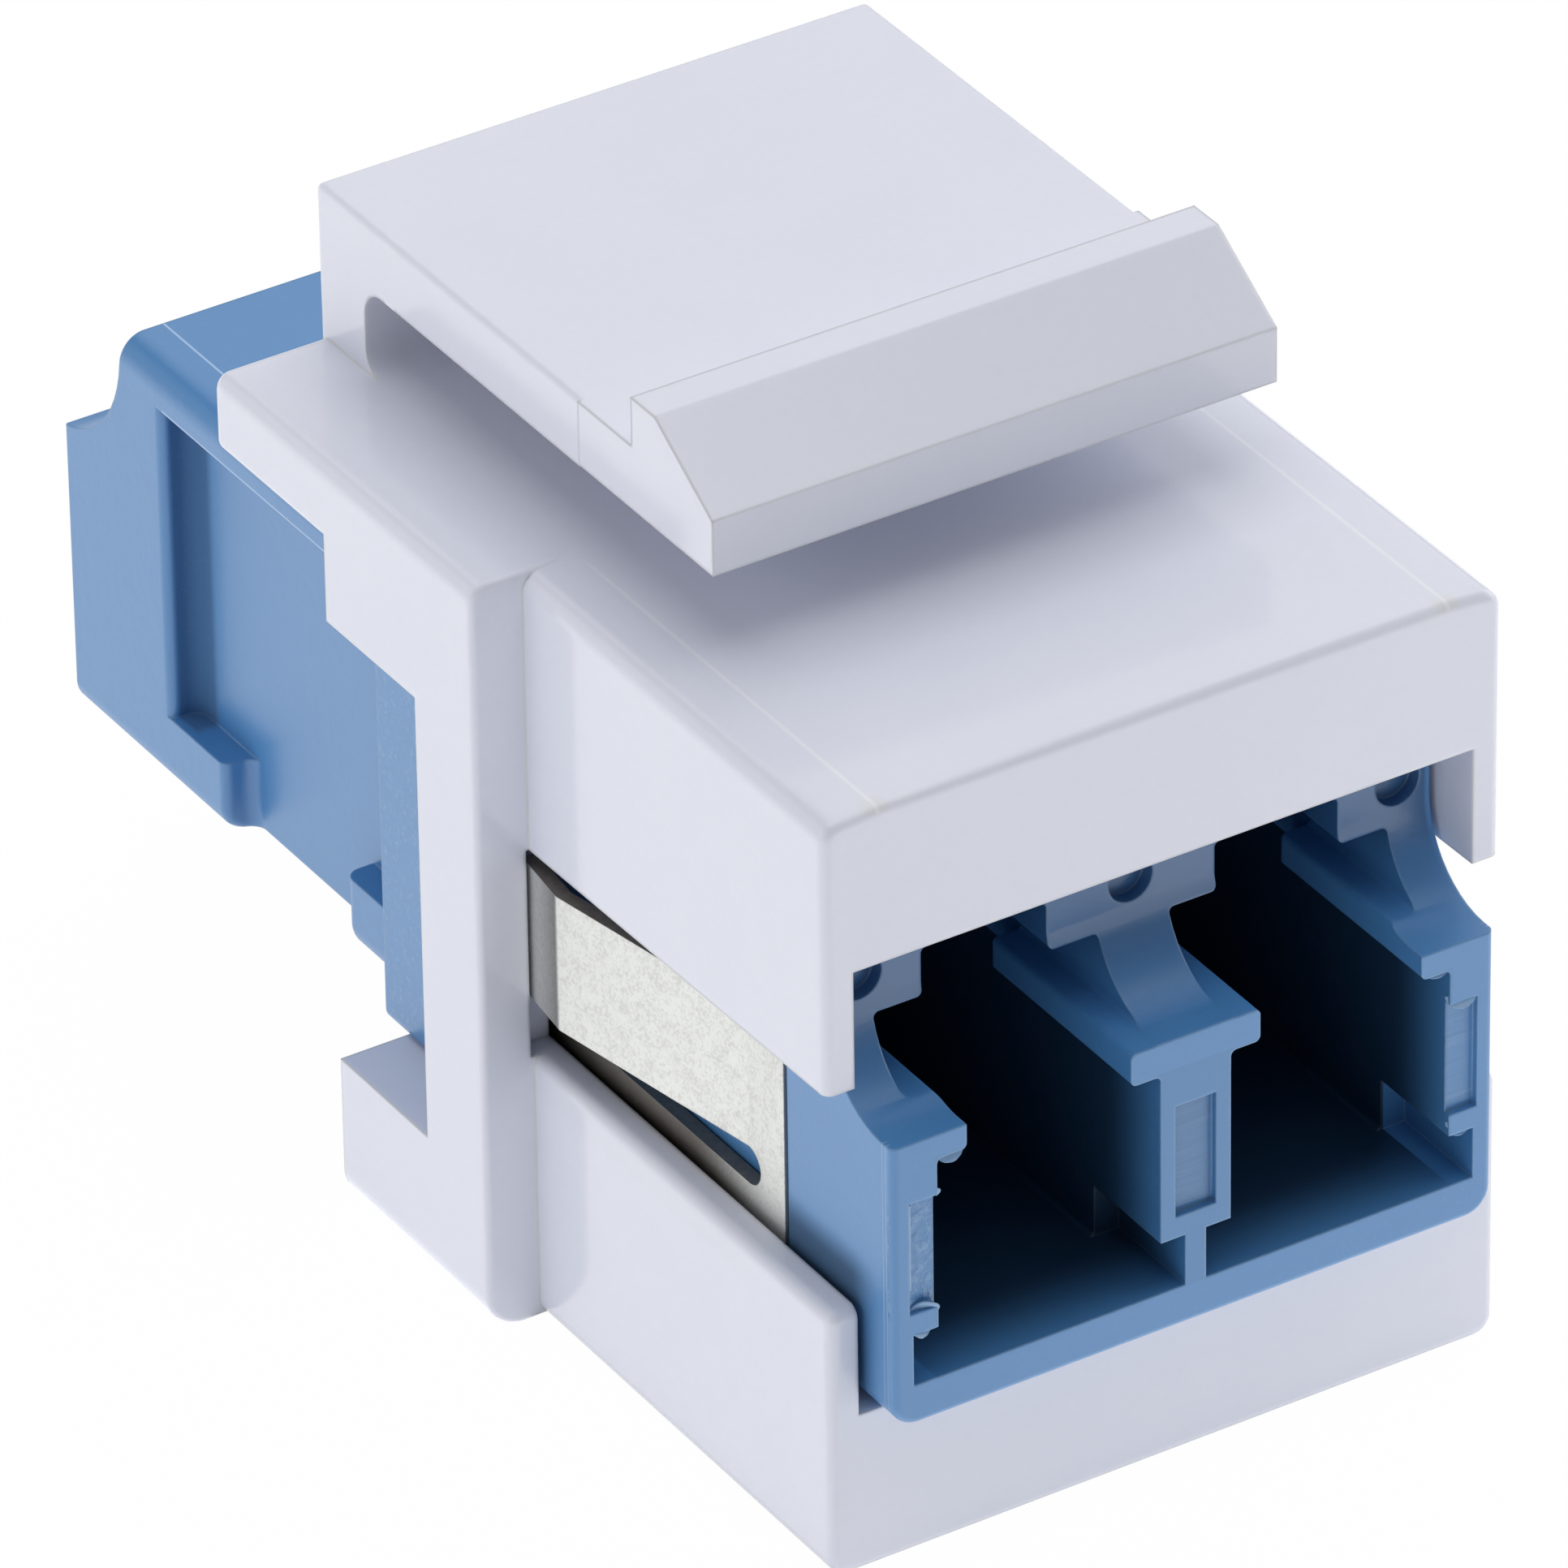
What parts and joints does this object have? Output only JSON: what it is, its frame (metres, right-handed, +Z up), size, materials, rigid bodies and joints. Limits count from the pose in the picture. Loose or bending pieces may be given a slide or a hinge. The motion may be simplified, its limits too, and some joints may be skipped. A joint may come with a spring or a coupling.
{
  "type": "keystone fibre coupler",
  "caption": "Duplex small-form-factor fibre coupler with a snap-in keystone frame, a sprung latch on top and open ports front and rear.",
  "frame": {"origin": "middle of the lower front edge of the frame's nose, level with the underside it rests on", "axes": "+X to the right seen from the front, +Y to the rear along the ports, +Z up through the latch"},
  "size_m": [0.0166, 0.0291, 0.0204],
  "materials": {
    "white_plastic": "smooth semi-gloss moulding",
    "blue_plastic": "satin moulding, cut faces matt",
    "spring_steel": "bright rolled sheet, faintly mottled",
    "zirconia": "polished"
  },
  "bodies": {
    "module": {"keystone_frame": "white_plastic", "adapter_front_half": "blue_plastic", "adapter_rear_half": "blue_plastic", "spring_clip": "spring_steel", "sleeve_left": "zirconia", "sleeve_right": "zirconia"},
    "latch": {"latch_arm": "white_plastic"}
  },
  "joints": [
    {"name": "latch_press", "type": "hinge", "parent": "module", "child": "latch", "pos_m": [0, 0.0166, 0.01797], "axis": [1, 0, 0], "range_deg": [0, 9], "stiffness_Nm_per_rad": 1.2}
  ]
}
